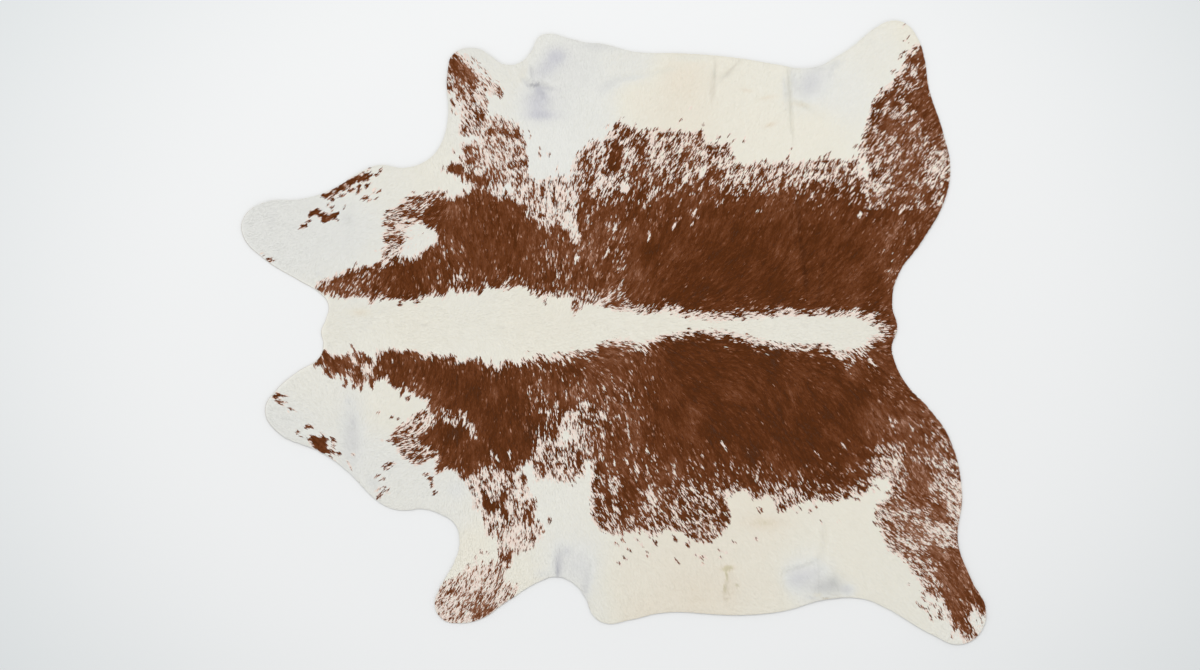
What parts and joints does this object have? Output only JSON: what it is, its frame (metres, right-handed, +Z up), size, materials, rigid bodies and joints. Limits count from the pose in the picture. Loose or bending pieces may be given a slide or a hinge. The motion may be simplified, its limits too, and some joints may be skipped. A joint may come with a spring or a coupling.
{
  "type": "cowhide rug",
  "caption": "Flat natural-shaped cowhide rug, hair side up, with a pale spine stripe and speckled brown patches.",
  "frame": {"origin": "on the floor, under the middle of the rug's length and width", "axes": "+Z up, away from the floor; +X along the spine, from the neck towards the tail; +Y towards the animal's right side"},
  "size_m": [2.2322, 1.8684, 0.005],
  "materials": {
    "hair_on_hide": "short glossy hair lying flat, brown and cream"
  },
  "bodies": {
    "root": {"hide": "hair_on_hide"}
  },
  "joints": []
}
